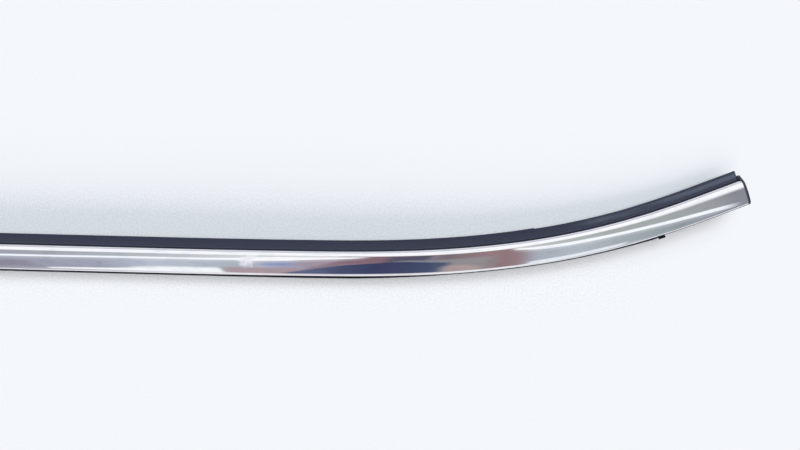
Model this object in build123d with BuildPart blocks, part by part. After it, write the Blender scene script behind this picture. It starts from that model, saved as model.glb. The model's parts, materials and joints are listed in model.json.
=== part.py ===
from build123d import *
import os
from math import acos, atan2, cos, degrees, radians, sin, sqrt

# Window moulding of a rear side door: a bright roll-formed strip on a black sealing extrusion.
# It lies on its back, bright face up. +X runs along the straight part, +Y is the side of the window
# glass and +Z is up from the table. In a section, u is the distance across towards the glass, from the
# lower edge of the bright face, and w is the height above the table. All sizes are in millimetres.

# Run along the door, seen from above: straight, five tangent bends to the left, straight
straight_run = 549.8
gentle_radius = 6780.0
gentle_turn = 0.85
easing_radius = 1005.0
easing_turn = 2.8
middle_radius = 667.0
middle_turn = 5.3
tight_radius = 477.0
tight_turn = 6.5
closing_radius = 528.0
closing_turn = 6.45
kick_run = 29.6

# The kicked end is cut a little askew, about an upright line at this u
cut_skew = 4.5
cut_pivot = 4.5
cut_spare = 3.0

# Bright strip
strip = 0.5
face_width = 15.3
crown_radius = 39.0
crown_middle = 6.6
top_roll = 3.4
side_flange = 1.7
hem_return = 2.2

# Carrier: a channel that opens to the lower side and pushes onto the flange of the door
front_leg = 1.8
bridge = 1.9
back_leg = 1.8
back_leg_setback = 0.3
channel_gap = 7.6
toe_bead = 0.9
inner_corner = 0.8
outer_corner = 1.6
toe_corner = 0.5

# Two holding fins on the front wall of the channel
fin_height = 1.3
fin_root = 1.1
fin_tip = 0.35
fin_first = 7.0
fin_pitch = 3.0
fin_count = 2

# Shoulder and upper lip, which close on the glass above the bright face
groove_bite = 0.4
bead_width = 1.4
bead_height = 0.4
upper_lip_reach = 6.9
upper_lip_tip = 1.3
upper_lip_root = 2.3
upper_lip_drop = 0.9
shoulder_depth = 3.2
shoulder_round = 2.5
lip_trim = 0.5
lip_trim_run = 132.0

# Lower lip, which closes on the painted door
lower_lip = 0.9
lower_lip_root = 1.3
lower_lip_reach = 1.5
lower_lip_clear = 0.25
lower_lip_end = 58.5
lower_lip_notch = 0.7
lower_lip_notch_run = 1.1

# Small block that ends the lower lip
block_length = 4.1
block_reach = 2.1
block_height = 1.25
block_gap = 0.3
block_corner = 0.4

# Two wiping lips on the back, which lie against the glass
glass_lip_drop = 3.9
glass_lip_lean = 6.2
glass_lip_root = 1.5
glass_lip_tip = 0.9
glass_lip_first = 0.8
glass_lip_pitch = 8.0
glass_lip_count = 2

# End caps: a plate that closes the section, and a plug that holds it in the channel
cap_plate = 1.3
cap_proud = 0.3
cap_cover = 3.0
cap_plug = 12.0
cap_plug_root = 0.9
cap_plug_taper = 0.6
cap_plug_clear = 0.15
cap_corner = 0.8

# Depth that a lip's profile reaches into what carries it, so that the two fuse into one piece
root_bite = 0.3

# Heights and places that follow from the sizes above
back_face = glass_lip_drop
channel_floor = back_face + back_leg
channel_top = channel_floor + channel_gap
channel_end = face_width - strip - bridge
hem_roll = front_leg / 2 + strip
hem_height = channel_top + front_leg / 2
crown_drop = sqrt((crown_radius - hem_roll) ** 2 - (crown_middle - hem_roll) ** 2)
crown_height = hem_height - crown_drop
top_roll_middle = face_width - top_roll
top_roll_height = crown_height + sqrt((crown_radius - top_roll) ** 2 - (top_roll_middle - crown_middle) ** 2)
crown_start = degrees(atan2(top_roll_height - crown_height, top_roll_middle - crown_middle))
crown_end = degrees(atan2(hem_height - crown_height, hem_roll - crown_middle))
tuck_height = top_roll_height - side_flange
hem_face = channel_top - strip
hem_end = hem_roll + hem_return


# The run is a list of stretches, each a length and a radius, or no radius where it is straight
stretches = [
    (straight_run, None),
    (gentle_radius * radians(gentle_turn), gentle_radius),
    (easing_radius * radians(easing_turn), easing_radius),
    (middle_radius * radians(middle_turn), middle_radius),
    (tight_radius * radians(tight_turn), tight_radius),
    (closing_radius * radians(closing_turn), closing_radius),
    (kick_run + cut_spare, None),
]
swept_length = sum(length for length, radius in stretches)
run_length = swept_length - cut_spare


def advance(point, heading, length, radius):
    """Point and heading, in degrees, after a length along one stretch."""
    if radius is None:
        step = Vector(length, 0)
        return point + step.rotate(Axis.Z, heading), heading
    turn = degrees(length / radius)
    step = Vector(radius * sin(radians(turn)), radius * (1 - cos(radians(turn))))
    return point + step.rotate(Axis.Z, heading), heading + turn


def station(distance):
    """Point and heading of the run at a distance from its square end."""
    point, heading = Vector(0, 0), 0.0
    for length, radius in stretches:
        taken = min(distance, length)
        point, heading = advance(point, heading, taken, radius)
        distance -= taken
    return point, heading


def section_plane(distance, skew=0.0, pivot=0.0):
    """Plane of the section at a distance along the run: its x is u, its y is w. A skew turns it at the pivot's u."""
    point, heading = station(distance)
    aside = Vector(0, pivot)
    point += aside.rotate(Axis.Z, heading) - aside.rotate(Axis.Z, heading - skew)
    heading -= skew
    return Plane(point, x_dir=Vector(0, 1).rotate(Axis.Z, heading), z_dir=Vector(1, 0).rotate(Axis.Z, heading))


def run_between(begin, finish):
    """Centre line of the run from one distance to another."""
    passed = 0.0
    with BuildLine() as line:
        for length, radius in stretches:
            start, stop = max(begin, passed), min(finish, passed + length)
            passed += length
            if stop - start < 1e-6:
                continue
            point, heading = station(start)
            if radius is None:
                Line(point, station(stop)[0])
            else:
                tangent = Vector(1, 0).rotate(Axis.Z, heading)
                JernArc(start=point, tangent=tangent, radius=radius, arc_size=degrees((stop - start) / radius))
    return line.line


def face_line(depth, flange_foot):
    """Line that lies a depth under the bright face, from the foot of its side flange to its lower roll."""
    side = face_width - depth
    Line((side, flange_foot), (side, top_roll_height))
    CenterArc((top_roll_middle, top_roll_height), top_roll - depth, 0, crown_start)
    CenterArc((crown_middle, crown_height), crown_radius - depth, crown_start, crown_end - crown_start)
    CenterArc((hem_roll, hem_height), hem_roll - depth, crown_end, 270 - crown_end)


def trim_profile():
    """Bright strip: side flange, top roll, crown, lower roll and the hem under the front leg."""
    with BuildLine() as outline:
        face_line(0, tuck_height)
        face_line(strip, tuck_height)
        Line((face_width, tuck_height), (face_width - strip, tuck_height))
        Line((hem_roll, hem_face), (hem_end, hem_face))
        Line((hem_end, hem_face), (hem_end, channel_top))
        Line((hem_end, channel_top), (hem_roll, channel_top))
    make_face(outline.edges())


def carrier_profile():
    """Channel under the bright strip, with the bead on the toe of its back leg."""
    back_edge = face_width - strip
    with BuildLine() as outline:
        face_line(strip, tuck_height)
        FilletPolyline(
            (hem_roll, channel_top),
            (channel_end, channel_top),
            (channel_end, channel_floor),
            (back_leg_setback, channel_floor),
            (back_leg_setback, back_face),
            (back_edge, back_face),
            (back_edge, tuck_height),
            radius=[inner_corner, inner_corner, toe_corner, toe_corner, outer_corner],
        )
    make_face(outline.edges())
    with Locations((back_leg_setback + toe_bead, channel_floor)):
        Circle(toe_bead)


def fin_profile(root):
    """One holding fin, raked towards the closed end of the channel."""
    with BuildLine() as outline:
        Polyline(
            (root, channel_top + root_bite),
            (root, channel_top),
            (root + fin_root - fin_tip, channel_top - fin_height),
            (root + fin_root, channel_top - fin_height),
            (root + fin_root, channel_top + root_bite),
            close=True,
        )
    make_face(outline.edges())


def shoulder_profile():
    """Shoulder that holds the tucked edge of the strip, with its bead and the upper lip."""
    back_edge = face_width - strip
    groove = tuck_height + groove_bite
    bead_end = face_width + bead_width
    tip_middle = face_width + upper_lip_reach - upper_lip_tip / 2
    tip_top = groove - upper_lip_drop
    tip_foot = tip_top - upper_lip_tip
    root_foot = groove - upper_lip_root
    with BuildLine() as outline:
        Polyline((back_edge - root_bite, tuck_height), (face_width, tuck_height), (face_width, groove))
        ThreePointArc((face_width, groove), (face_width + bead_width / 2, groove + bead_height), (bead_end, groove))
        Line((bead_end, groove), (tip_middle, tip_top))
        ThreePointArc(
            (tip_middle, tip_top),
            (tip_middle + upper_lip_tip / 2, (tip_top + tip_foot) / 2),
            (tip_middle, tip_foot),
        )
        FilletPolyline(
            (tip_middle, tip_foot),
            (bead_end + bead_width, root_foot),
            (back_edge, tuck_height - shoulder_depth),
            radius=shoulder_round,
        )
        Line((back_edge, tuck_height - shoulder_depth), (back_edge - root_bite, tuck_height - shoulder_depth))
        Line((back_edge - root_bite, tuck_height - shoulder_depth), (back_edge - root_bite, tuck_height))
    make_face(outline.edges())


def lower_lip_profile():
    """Lip that hangs from the front leg just behind the hem and turns out below it."""
    root = hem_end + lower_lip_clear
    lip_top = hem_face - lower_lip_clear
    lip_foot = lip_top - lower_lip
    tip_middle = lower_lip / 2 - lower_lip_reach
    with BuildLine() as outline:
        FilletPolyline(
            (root, channel_top + root_bite),
            (root, lip_top),
            (tip_middle, lip_top),
            radius=lower_lip_clear,
        )
        ThreePointArc(
            (tip_middle, lip_top),
            (-lower_lip_reach, (lip_top + lip_foot) / 2),
            (tip_middle, lip_foot),
        )
        FilletPolyline(
            (tip_middle, lip_foot),
            (root + lower_lip_root, lip_foot),
            (root + lower_lip_root, channel_top + root_bite),
            radius=lower_lip,
        )
        Line((root + lower_lip_root, channel_top + root_bite), (root, channel_top + root_bite))
    make_face(outline.edges())


def glass_lip_profile(root):
    """One wiping lip: it curves down from the back leg and lies flat to the table at its tip."""
    tip = root + glass_lip_lean
    under_radius = (glass_lip_lean**2 + glass_lip_drop**2) / (2 * glass_lip_drop)
    over_drop = glass_lip_drop - glass_lip_tip
    over_lean = glass_lip_lean - glass_lip_root
    over_radius = (over_lean**2 + over_drop**2) / (2 * over_drop)
    with BuildLine() as outline:
        under = JernArc((tip, 0), (-1, 0), under_radius, -degrees(atan2(glass_lip_lean, under_radius - glass_lip_drop)))
        over = JernArc(
            (tip, glass_lip_tip), (-1, 0), over_radius, -degrees(atan2(over_lean, over_radius - over_drop))
        )
        ThreePointArc((tip, 0), (tip + glass_lip_tip / 2, glass_lip_tip / 2), (tip, glass_lip_tip))
        Polyline(
            under @ 1,
            (root, back_face + root_bite),
            (root + glass_lip_root, back_face + root_bite),
            over @ 1,
        )
    make_face(outline.edges())


square_cut = section_plane(0)
kicked_cut = section_plane(run_length, cut_skew, cut_pivot)

# Bright strip, roll-formed and bent with the extrusion
with BuildPart() as bright_trim:
    with BuildSketch(square_cut):
        trim_profile()
    sweep(path=run_between(0, swept_length))
    split(bisect_by=kicked_cut, keep=Keep.BOTTOM)

# Sealing extrusion: one black piece, with the carrier and all the lips
lip_cut_reach = 2 * upper_lip_reach
lower_lip_finish = run_length - lower_lip_end
with BuildPart() as seal_extrusion:
    with BuildSketch(square_cut):
        carrier_profile()
        for number in range(fin_count):
            fin_profile(fin_first + number * fin_pitch)
        shoulder_profile()
        for number in range(glass_lip_count):
            glass_lip_profile(glass_lip_first + number * glass_lip_pitch)
    sweep(path=run_between(0, swept_length))
    with BuildSketch(square_cut):
        lower_lip_profile()
    sweep(path=run_between(0, lower_lip_finish))
    # The lower lip is notched next to the block that ends it
    with BuildSketch(section_plane(lower_lip_finish - lower_lip_notch_run)):
        with Locations((lower_lip_notch - lower_lip_reach, hem_face)):
            Rectangle(lower_lip_reach, 2 * lower_lip_reach, align=(Align.MAX, Align.CENTER))
    extrude(amount=2 * lower_lip_notch_run, mode=Mode.SUBTRACT)
    # The edge of the upper lip is trimmed back from the bends to the kicked end
    with BuildSketch(section_plane(run_length - lip_trim_run)):
        with Locations((face_width + upper_lip_reach - lip_trim, tuck_height)):
            Rectangle(lip_cut_reach, lip_cut_reach, align=(Align.MIN, Align.CENTER))
    sweep(path=run_between(run_length - lip_trim_run, swept_length), mode=Mode.SUBTRACT)
    split(bisect_by=kicked_cut, keep=Keep.BOTTOM)

# Block that ends the lower lip: it sits under the hem and shows beyond it
with BuildPart() as lip_end_block:
    block_start = lower_lip_finish + block_gap
    with BuildSketch(section_plane(block_start)):
        with Locations((-block_reach, hem_face)):
            Rectangle(block_reach + hem_end, block_height, align=(Align.MIN, Align.MAX))
    sweep(path=run_between(block_start, block_start + block_length))
    outer_face = lip_end_block.faces().sort_by(Axis.Y)[0]
    fillet(outer_face.edges(), block_corner)


def cap_profile():
    """Plate of an end cap: a little proud of the bright face, it slopes down over the shoulder and its bead."""
    cover = face_width + cap_cover
    shoulder_top = tuck_height + groove_bite + bead_height + cap_proud
    shoulder_foot = tuck_height + groove_bite - upper_lip_root - cap_proud
    foot = back_face - cap_proud
    roll = top_roll + cap_proud
    across, rise = cover - top_roll_middle, shoulder_top - top_roll_height
    slope_start = degrees(atan2(rise, across) + acos(roll / sqrt(across**2 + rise**2)))
    with BuildLine() as outline:
        rounding = CenterArc((top_roll_middle, top_roll_height), roll, slope_start, crown_start - slope_start)
        CenterArc((crown_middle, crown_height), crown_radius + cap_proud, crown_start, crown_end - crown_start)
        CenterArc((hem_roll, hem_height), hem_roll + cap_proud, crown_end, 180 - crown_end)
        FilletPolyline(
            (-cap_proud, hem_height),
            (-cap_proud, foot),
            (face_width, foot),
            (face_width, shoulder_foot),
            (cover, shoulder_foot),
            (cover, shoulder_top),
            rounding @ 0,
            radius=cap_corner,
        )
    make_face(outline.edges())


def cap_plug_profile():
    """Plug that fills the channel from the back leg up to the fins and the lower lip."""
    floor = channel_floor + cap_plug_clear
    lip_foot = strip + lower_lip_clear + lower_lip
    ceiling = channel_top - max(fin_height, lip_foot) - cap_plug_clear
    mouth = back_leg_setback + 2 * toe_bead + cap_plug_clear
    with Locations((mouth, floor)):
        Rectangle(channel_end - cap_plug_clear - mouth, ceiling - floor, align=Align.MIN)


def make_cap(cut, end, inward, name):
    """Cap outside a cut end; end is its distance along the run, and inward the way, +1 or -1, into the channel."""
    with BuildPart() as cap:
        with BuildSketch(cut):
            cap_profile()
        extrude(amount=-inward * cap_plate)
        with BuildSketch(section_plane(end - inward * cap_plug_root)):
            cap_plug_profile()
        extrude(amount=inward * (cap_plug_root + cap_plug), taper=degrees(atan2(cap_plug_taper, cap_plug)))
    cap.part.label = name
    return cap.part


end_cap_kicked = make_cap(kicked_cut, run_length, -1, "end_cap_kicked")
end_cap_square = make_cap(square_cut, 0, 1, "end_cap_square")

bright_trim.part.label = "bright_trim"
seal_extrusion.part.label = "seal_extrusion"
lip_end_block.part.label = "lip_end_block"

# The reference point is the middle of the footprint, on the table
pieces = [bright_trim.part, seal_extrusion.part, lip_end_block.part, end_cap_kicked, end_cap_square]
boxes = [piece.bounding_box() for piece in pieces]
reference = Vector(
    (min(box.min.X for box in boxes) + max(box.max.X for box in boxes)) / 2,
    (min(box.min.Y for box in boxes) + max(box.max.Y for box in boxes)) / 2,
    min(box.min.Z for box in boxes),
)

os.makedirs("parts", exist_ok=True)
for piece in pieces:
    label = piece.label
    print(label, round(piece.volume), "mm3", piece.bounding_box().size)
    placed = piece.moved(Location(-reference))
    placed.label = label
    export_step(placed, f"parts/{label}.step")
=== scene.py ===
import json
import math

import bmesh
import bpy
import numpy as np
from mathutils import Matrix, Vector

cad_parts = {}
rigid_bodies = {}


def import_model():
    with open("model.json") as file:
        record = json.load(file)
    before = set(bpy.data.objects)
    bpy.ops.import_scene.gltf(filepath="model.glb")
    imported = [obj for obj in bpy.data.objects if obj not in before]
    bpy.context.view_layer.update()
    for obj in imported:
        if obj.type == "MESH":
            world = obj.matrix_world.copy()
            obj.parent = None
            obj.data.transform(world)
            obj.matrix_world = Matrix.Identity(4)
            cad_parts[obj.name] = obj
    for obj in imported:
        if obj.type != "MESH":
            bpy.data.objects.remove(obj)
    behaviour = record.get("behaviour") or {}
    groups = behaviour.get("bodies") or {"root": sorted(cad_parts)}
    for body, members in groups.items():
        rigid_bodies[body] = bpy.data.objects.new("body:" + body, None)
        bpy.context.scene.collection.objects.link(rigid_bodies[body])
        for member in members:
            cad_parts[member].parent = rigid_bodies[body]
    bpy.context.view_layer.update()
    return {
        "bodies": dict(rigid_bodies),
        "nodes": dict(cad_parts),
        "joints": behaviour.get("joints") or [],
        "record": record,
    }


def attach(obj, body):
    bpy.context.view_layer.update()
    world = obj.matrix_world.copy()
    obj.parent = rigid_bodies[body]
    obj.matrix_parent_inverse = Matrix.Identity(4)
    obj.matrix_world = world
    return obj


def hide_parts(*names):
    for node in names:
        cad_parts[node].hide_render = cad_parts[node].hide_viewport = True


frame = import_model()

# Sizes in millimetres, as in the solid model. u is the distance across from the lower edge of the bright face
# towards the window glass, w the height above the table, and a place along the run is its distance from the
# square end.
MM = 0.001
REFERENCE = (448.530, 35.0367)
STRETCHES = [
    (549.8, None),
    (6780.0 * math.radians(0.85), 6780.0),
    (1005.0 * math.radians(2.8), 1005.0),
    (667.0 * math.radians(5.3), 667.0),
    (477.0 * math.radians(6.5), 477.0),
    (528.0 * math.radians(6.45), 528.0),
    (29.6, None),
]
RUN = sum(length for length, radius in STRETCHES)
CUT_SKEW = 4.5
CUT_PIVOT = 4.5

STRIP = 0.5
FACE = 15.3
CROWN_RADIUS = 39.0
CROWN_MIDDLE = 6.6
TOP_ROLL = 3.4
SIDE_FLANGE = 1.7
HEM_RETURN = 2.2
HEM_EDGE = 0.12
FRONT_LEG = 1.8
CHANNEL_FLOOR = 5.7
CHANNEL_TOP = 13.3
CHANNEL_END = 12.9
BACK_FACE = 3.9
TOE = 0.3
TOE_BEAD = 0.9
FIN_HEIGHT = 1.3
FIN_ROOT = 1.1
FIN_TIP = 0.35
FINS = (7.0, 10.0)
GROOVE_BITE = 0.4
BEAD_WIDTH = 1.4
BEAD_HEIGHT = 0.4
UPPER_LIP_REACH = 6.9
UPPER_LIP_TIP = 1.3
UPPER_LIP_ROOT = 2.3
UPPER_LIP_DROP = 0.9
UPPER_LIP_SAG = 0.10
SHOULDER_DEPTH = 3.2
BACK_ROUND = 1.6
LIP_TRIM = 0.5
LIP_TRIM_RUN = 132.0
LIP_TRIM_STEP = 0.15
LOWER_LIP = 0.9
LOWER_LIP_ROOT = 1.3
LOWER_LIP_REACH = 1.5
LOWER_LIP_CLEAR = 0.25
LOWER_LIP_SEAT = 0.3
LOWER_LIP_END = 58.5
LOWER_LIP_NOTCH = 0.45
LOWER_LIP_NOTCH_RUN = 1.1
LOWER_LIP_NOTCH_STEP = 0.12
LOWER_LIP_EXTRA = 0.25
LOWER_LIP_REMNANT = 0.5
REMNANT_GAP = 1.0
BLOCK_LENGTH = 4.1
BLOCK_REACH = 2.1
BLOCK_HEIGHT = 1.25
BLOCK_GAP = 0.3
BLOCK_CORNER = 0.4
BLOCK_ROUND = BLOCK_CORNER * 0.7
GLASS_LIP_DROP = 3.9
GLASS_LIP_LEAN = 6.2
GLASS_LIP_ROOT = 1.5
GLASS_LIP_TIP = 0.9
GLASS_LIPS = (0.8, 8.8)
CAP_PLATE = 1.3
CAP_PROUD = 0.3
CAP_COVER = 3.0
CAP_PLUG = 12.0
CAP_PLUG_ROOT = 0.9
CAP_PLUG_TAPER = 0.6
CAP_PLUG_CLEAR = 0.15
CAP_CORNER = 0.8
CAP_RIM = 0.28

HEM_ROLL = FRONT_LEG / 2 + STRIP
HEM_HEIGHT = CHANNEL_TOP + FRONT_LEG / 2
HEM_FACE = CHANNEL_TOP - STRIP
HEM_END = HEM_ROLL + HEM_RETURN
CROWN_HEIGHT = HEM_HEIGHT - math.sqrt((CROWN_RADIUS - HEM_ROLL) ** 2 - (CROWN_MIDDLE - HEM_ROLL) ** 2)
TOP_ROLL_MIDDLE = FACE - TOP_ROLL
TOP_ROLL_RISE = math.sqrt((CROWN_RADIUS - TOP_ROLL) ** 2 - (TOP_ROLL_MIDDLE - CROWN_MIDDLE) ** 2)
TOP_ROLL_HEIGHT = CROWN_HEIGHT + TOP_ROLL_RISE
CROWN_START = math.degrees(math.atan2(TOP_ROLL_HEIGHT - CROWN_HEIGHT, TOP_ROLL_MIDDLE - CROWN_MIDDLE))
CROWN_END = math.degrees(math.atan2(HEM_HEIGHT - CROWN_HEIGHT, HEM_ROLL - CROWN_MIDDLE))
TUCK = TOP_ROLL_HEIGHT - SIDE_FLANGE

# Steps round the seal's section: over the upper lip's tip, along its top and over the bead
TIP_STEPS = 10
TOP_STEPS = 8
BEAD_STEPS = 8
# The stretch of a wiping lip's outline that is flocked
FLOCK_STEPS = (2, 22)
# Edges that turn by more than this many degrees are shaded sharp
SWEEP_SHARP = 38.0
CAP_SHARP = 30.0
BLOCK_SHARP = 40.0


# The run, with its bends eased into each other

def run_table(step=0.5, ease=9.0):
    """Distances, points and headings along the run, in millimetres and radians."""
    count = int(round(RUN / step))
    distance = np.linspace(0.0, RUN, count + 1)
    heading = np.zeros_like(distance)
    passed = turned = 0.0
    for length, radius in STRETCHES:
        inside = distance >= passed
        if radius is None:
            heading[inside] = turned
        else:
            heading[inside] = turned + (distance[inside] - passed) / radius
            turned += length / radius
        passed += length

    def follow(turns):
        middle = (turns[1:] + turns[:-1]) / 2
        x = np.concatenate([[0.0], np.cumsum(np.cos(middle) * np.diff(distance))])
        y = np.concatenate([[0.0], np.cumsum(np.sin(middle) * np.diff(distance))])
        return x, y

    reach = int(4 * ease / step)
    weights = np.exp(-0.5 * (np.arange(-reach, reach + 1) * step / ease) ** 2)
    padded = np.pad(heading, reach, mode="edge")
    eased = np.convolve(padded, weights / weights.sum(), mode="valid")
    sharp_x, sharp_y = follow(heading)
    x, y = follow(eased)
    # The easing moves the far end by a few hundredths of a millimetre, which is spread over the run
    x += (sharp_x[-1] - x[-1]) * distance / RUN
    y += (sharp_y[-1] - y[-1]) * distance / RUN
    return distance, x, y, eased


TABLE = run_table()


def station(place):
    distance, x, y, heading = TABLE
    beyond = place - float(np.clip(place, 0.0, RUN))
    inside = place - beyond
    turn = float(np.interp(inside, distance, heading))
    px = float(np.interp(inside, distance, x)) + beyond * math.cos(turn)
    py = float(np.interp(inside, distance, y)) + beyond * math.sin(turn)
    return px, py, turn


def put(place, u, w, skew=0.0):
    """Point of the row frame, in metres. A skew moves it along the run to a plane turned at the pivot."""
    x, y, turn = station(place + (u - CUT_PIVOT) * math.tan(math.radians(skew)))
    return (
        (x - u * math.sin(turn) - REFERENCE[0]) * MM,
        (y + u * math.cos(turn) - REFERENCE[1]) * MM,
        w * MM,
    )


def places(begin, finish, extra=()):
    """Places along the run for a sweep's rings: close together where the run bends."""
    marks = {begin, finish}
    bend = STRETCHES[0][0]
    kick = RUN - STRETCHES[-1][0]
    marks.update(np.arange(0.0, bend, 15.0))
    marks.update(np.arange(bend, bend + 90.0, 7.5))
    marks.update(np.arange(bend + 90.0, kick + 12.0, 2.5))
    marks.update(np.arange(kick + 12.0, RUN, 4.0))
    marks.update(extra)
    kept = [begin]
    for mark in sorted(marks):
        if begin < mark < finish - 1.5 and mark - kept[-1] > 0.05:
            kept.append(float(mark))
    return kept + [finish]


# Sections

def arc(middle_u, middle_w, radius, start, stop, count):
    angles = np.radians(np.linspace(start, stop, count + 1))
    return [(middle_u + radius * math.cos(a), middle_w + radius * math.sin(a)) for a in angles]


def fillet(points, radii, count=5):
    """Open line through the points, with its inner corners rounded."""
    line = [points[0]]
    for before, corner, after, radius in zip(points, points[1:], points[2:], radii):
        a, b, c = (np.array(p, float) for p in (before, corner, after))
        one = (a - b) / np.linalg.norm(a - b)
        two = (c - b) / np.linalg.norm(c - b)
        half = math.acos(float(np.clip(one @ two, -1, 1))) / 2
        back = radius / math.tan(half)
        middle = b + (one + two) / np.linalg.norm(one + two) * radius / math.sin(half)
        start = b + one * back - middle
        stop = b + two * back - middle
        first = math.atan2(start[1], start[0])
        sweep = math.atan2(start[0] * stop[1] - start[1] * stop[0], float(start @ stop))
        for k in range(count + 1):
            angle = first + sweep * k / count
            line.append((middle[0] + radius * math.cos(angle), middle[1] + radius * math.sin(angle)))
    line.append(points[-1])
    return line


def tidy(points):
    """The points as an array, with none twice in a row."""
    kept = [points[0]]
    for p in points[1:]:
        if math.dist(p, kept[-1]) > 1e-4:
            kept.append(p)
    if math.dist(kept[0], kept[-1]) < 1e-4:
        kept.pop()
    return np.array(kept, float)


def face_line(depth, roll_steps, crown_steps, hem_steps):
    side = FACE - depth
    line = [(side, TUCK)]
    line += arc(TOP_ROLL_MIDDLE, TOP_ROLL_HEIGHT, TOP_ROLL - depth, 0, CROWN_START, roll_steps)
    line += arc(CROWN_MIDDLE, CROWN_HEIGHT, CROWN_RADIUS - depth, CROWN_START, CROWN_END, crown_steps)[1:]
    line += arc(HEM_ROLL, HEM_HEIGHT, HEM_ROLL - depth, CROWN_END, 270, hem_steps)[1:]
    return line


def trim_section():
    line = face_line(0, 18, 40, 24)
    line += [(HEM_END - HEM_EDGE, HEM_FACE), (HEM_END, HEM_FACE + HEM_EDGE), (HEM_END, CHANNEL_TOP)]
    line += face_line(STRIP, 6, 12, 8)[::-1]
    return tidy(line)


def glass_lip_line(root):
    """One wiping lip, from its front root round its tip to its back root."""
    tip = root + GLASS_LIP_LEAN
    under = (GLASS_LIP_LEAN**2 + GLASS_LIP_DROP**2) / (2 * GLASS_LIP_DROP)
    lean = GLASS_LIP_LEAN - GLASS_LIP_ROOT
    drop = GLASS_LIP_DROP - GLASS_LIP_TIP
    over = (lean**2 + drop**2) / (2 * drop)
    under_turn = math.degrees(math.atan2(GLASS_LIP_LEAN, under - GLASS_LIP_DROP))
    over_turn = math.degrees(math.atan2(lean, over - drop))
    line = arc(tip, under, under, 270 - under_turn, 270, 12)
    line += arc(tip, GLASS_LIP_TIP / 2, GLASS_LIP_TIP / 2, -90, 90, 8)[1:]
    line += arc(tip, GLASS_LIP_TIP + over, over, 270, 270 - over_turn, 12)[1:]
    return line


def seal_section():
    """Outline of the sealing extrusion without its lower lip, its flocked stretches, and where the top of the
    upper lip begins at its tip."""
    edge = FACE - STRIP
    groove = TUCK + GROOVE_BITE
    bead_end = FACE + BEAD_WIDTH
    tip = FACE + UPPER_LIP_REACH - UPPER_LIP_TIP / 2
    tip_top = groove - UPPER_LIP_DROP
    line = face_line(STRIP, 6, 12, 8)
    for fin in FINS:
        line += [
            (fin, CHANNEL_TOP),
            (fin + FIN_ROOT - FIN_TIP - 0.06, CHANNEL_TOP - FIN_HEIGHT + 0.1),
            (fin + FIN_ROOT - FIN_TIP + 0.05, CHANNEL_TOP - FIN_HEIGHT),
            (fin + FIN_ROOT - 0.08, CHANNEL_TOP - FIN_HEIGHT),
            (fin + FIN_ROOT, CHANNEL_TOP - FIN_HEIGHT + 0.08),
            (fin + FIN_ROOT, CHANNEL_TOP),
        ]
    line += fillet(
        [
            (FINS[-1] + FIN_ROOT, CHANNEL_TOP),
            (CHANNEL_END, CHANNEL_TOP),
            (CHANNEL_END, CHANNEL_FLOOR),
            (TOE + 2 * TOE_BEAD, CHANNEL_FLOOR),
        ],
        [0.8, 0.8],
    )[1:]
    line += arc(TOE + TOE_BEAD, CHANNEL_FLOOR, TOE_BEAD, 0, 180, 12)[1:]
    line += fillet([(TOE, CHANNEL_FLOOR), (TOE, BACK_FACE), (GLASS_LIPS[0], BACK_FACE)], [0.45])[1:]
    flocked = []
    for root in GLASS_LIPS:
        begin = len(line)
        line += glass_lip_line(root)
        flocked.append((begin + FLOCK_STEPS[0], begin + FLOCK_STEPS[1]))
    start = GLASS_LIPS[-1] + GLASS_LIP_ROOT
    line += fillet([(start, BACK_FACE), (edge, BACK_FACE), (edge, TUCK - SHOULDER_DEPTH)], [BACK_ROUND], 8)
    line += fillet(
        [
            (edge, TUCK - SHOULDER_DEPTH),
            (bead_end + BEAD_WIDTH, groove - UPPER_LIP_ROOT),
            (tip, tip_top - UPPER_LIP_TIP),
        ],
        [2.5],
        8,
    )[1:]
    line += arc(tip, tip_top - UPPER_LIP_TIP / 2, UPPER_LIP_TIP / 2, -90, 90, TIP_STEPS)[1:]
    lip_top = len(line) - 1 - TIP_STEPS // 2
    for k in range(1, TOP_STEPS + 1):
        share = k / TOP_STEPS
        sag = UPPER_LIP_SAG * math.sin(math.pi * share)
        line.append((tip + (bead_end - tip) * share, tip_top + (groove - tip_top) * share - sag))
    half = BEAD_WIDTH / 2
    bow = (half**2 + BEAD_HEIGHT**2) / (2 * BEAD_HEIGHT)
    wide = math.degrees(math.asin(half / bow))
    line += arc(FACE + half, groove + BEAD_HEIGHT - bow, bow, 90 - wide, 90 + wide, BEAD_STEPS)[1:]
    line += [(FACE, TUCK), (edge, TUCK)]
    return np.array(line), flocked, lip_top


def lower_lip_section():
    root = HEM_END + LOWER_LIP_CLEAR
    top = HEM_FACE - LOWER_LIP_CLEAR
    foot = top - LOWER_LIP
    tip = LOWER_LIP / 2 - LOWER_LIP_REACH
    line = fillet([(root, CHANNEL_TOP + LOWER_LIP_SEAT), (root, top), (tip, top)], [LOWER_LIP_CLEAR], 4)
    line += arc(tip, (top + foot) / 2, LOWER_LIP / 2, 90, 270, 10)[1:]
    inner = root + LOWER_LIP_ROOT
    line += fillet([(tip, foot), (inner, foot), (inner, CHANNEL_TOP + LOWER_LIP_SEAT)], [LOWER_LIP], 6)[1:]
    return tidy(line)


# How the lips differ along the run, from the kicked end: distance from it, and what is added to the lip

UPPER_LIP_CHANGE = [(-2, -0.5), (30, -0.5), (60, -0.55), (75, -0.7), (100, -0.6), (131.9, -0.5), (132.1, 0.0),
                    (155, -0.1), (190, -0.2), (230, -0.3), (906, -0.3)]
LOWER_LIP_CHANGE = [(0, 0.0), (59, -0.1), (70, -0.4), (95, -0.65), (130, -0.85), (185, -0.9), (215, -0.45),
                    (245, -0.05), (275, -0.1), (305, -0.25), (340, -0.4), (906, -0.4)]


def change_at(changes, place):
    return float(np.interp(RUN - place, [c[0] for c in changes], [c[1] for c in changes]))


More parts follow.
